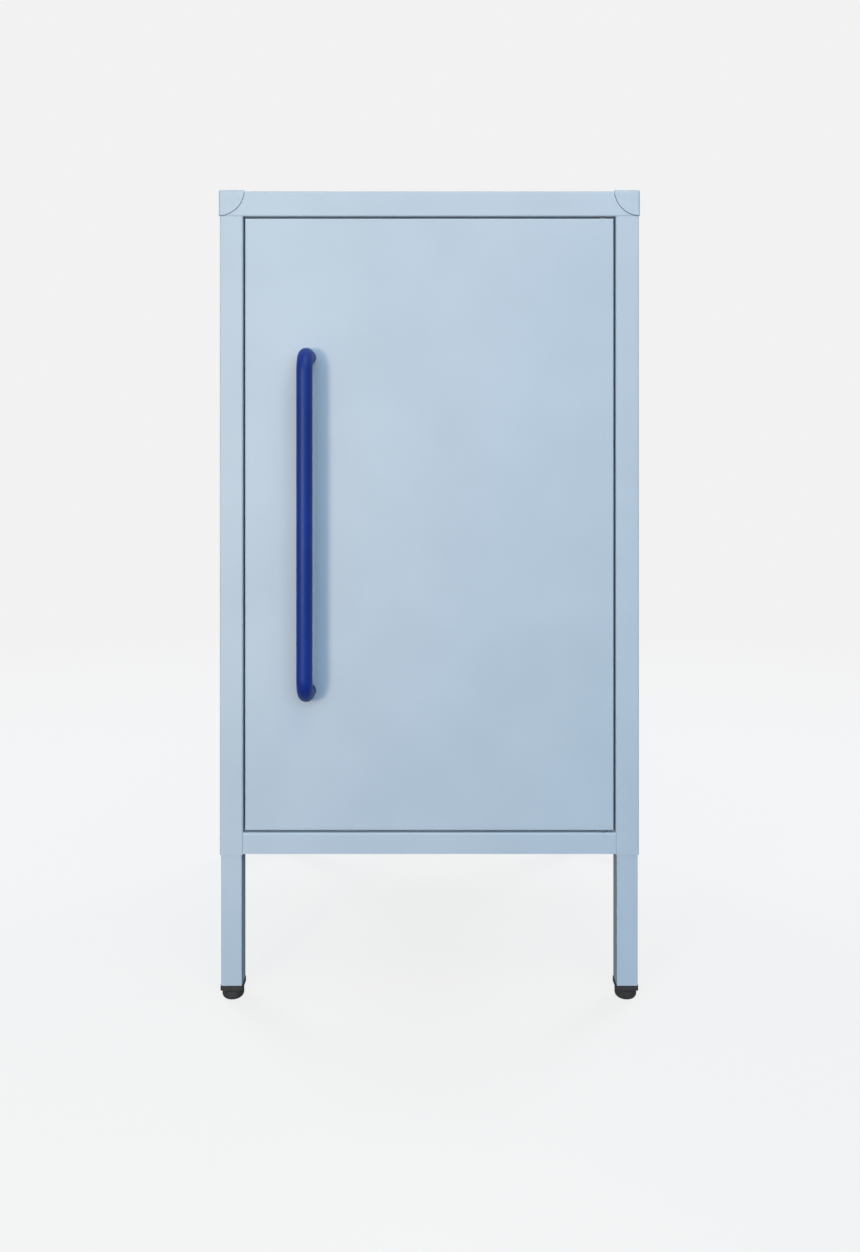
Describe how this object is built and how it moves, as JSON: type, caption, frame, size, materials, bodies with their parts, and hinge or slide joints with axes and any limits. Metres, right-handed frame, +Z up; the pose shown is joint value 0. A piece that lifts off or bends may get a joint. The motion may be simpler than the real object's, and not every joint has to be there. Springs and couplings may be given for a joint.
{
  "type": "bedside cabinet",
  "caption": "Sheet-steel bedside cabinet with an inset door on a pivot hinge, a bow handle, an adjustable shelf, square legs and levelling feet",
  "frame": {"origin": "on the floor, in the middle of the footprint, handle included", "axes": "+X to the right seen from the front, +Y from the door to the back, +Z up"},
  "size_m": [0.4, 0.435, 0.77],
  "materials": {
    "body_paint": "powder coat, light blue, low sheen",
    "cap_plastic": "moulded in the body's blue",
    "foot_plastic": "black moulding",
    "zinc_steel": "zinc plated",
    "nylon": "natural nylon",
    "handle_paint": "powder coat, deep blue, satin",
    "magnet": "sintered, dark",
    "buffer_rubber": "soft rubber"
  },
  "bodies": {
    "cabinet": {"top_panel": "body_paint", "side_panel_left": "body_paint", "side_panel_right": "body_paint", "back_panel": "body_paint", "bottom_tray": "body_paint", "stop_rail": "body_paint", "shelf": "body_paint", "post_front_left": "body_paint", "post_front_right": "body_paint", "post_rear_left": "body_paint", "post_rear_right": "body_paint", "leg_front_left": "body_paint", "leg_front_right": "body_paint", "leg_rear_left": "body_paint", "leg_rear_right": "body_paint", "corner_cap_front_left": "cap_plastic", "corner_cap_front_right": "cap_plastic", "corner_cap_rear_left": "cap_plastic", "corner_cap_rear_right": "cap_plastic", "foot_cap_front_left": "foot_plastic", "foot_cap_front_right": "foot_plastic", "foot_cap_rear_left": "foot_plastic", "foot_cap_rear_right": "foot_plastic", "leg_screws": "zinc_steel", "hinge_plate_top": "zinc_steel", "hinge_plate_bottom": "zinc_steel", "hinge_pin_top": "zinc_steel", "hinge_pin_bottom": "zinc_steel", "catch_poles": "zinc_steel", "catch_screws": "zinc_steel", "shelf_clips": "nylon", "hinge_washer": "nylon", "catch_housing": "nylon", "catch_magnet": "magnet", "door_buffers": "buffer_rubber"},
    "door": {"door_shell": "body_paint", "door_stiffener": "body_paint", "door_bush_top": "nylon", "door_bush_bottom": "nylon", "strike_plate": "zinc_steel", "handle": "handle_paint", "handle_inserts": "zinc_steel", "handle_screws": "zinc_steel"},
    "glide_front_left": {"glide_dome_front_left": "foot_plastic", "glide_stud_front_left": "zinc_steel"},
    "glide_front_right": {"glide_dome_front_right": "foot_plastic", "glide_stud_front_right": "zinc_steel"},
    "glide_rear_left": {"glide_dome_rear_left": "foot_plastic", "glide_stud_rear_left": "zinc_steel"},
    "glide_rear_right": {"glide_dome_rear_right": "foot_plastic", "glide_stud_rear_right": "zinc_steel"}
  },
  "joints": [
    {"name": "door_hinge", "type": "hinge", "parent": "cabinet", "child": "door", "pos_m": [0.165, -0.1755, 0.4525], "axis": [0, 0, 1], "range_deg": [0, 110]},
    {"name": "foot_adjust_front_left", "type": "slide", "parent": "cabinet", "child": "glide_front_left", "axis": [0, 0, -1], "range_m": [0, 0.008]},
    {"name": "foot_adjust_front_right", "type": "slide", "parent": "cabinet", "child": "glide_front_right", "axis": [0, 0, -1], "range_m": [0, 0.008]},
    {"name": "foot_adjust_rear_left", "type": "slide", "parent": "cabinet", "child": "glide_rear_left", "axis": [0, 0, -1], "range_m": [0, 0.008]},
    {"name": "foot_adjust_rear_right", "type": "slide", "parent": "cabinet", "child": "glide_rear_right", "axis": [0, 0, -1], "range_m": [0, 0.008]}
  ]
}
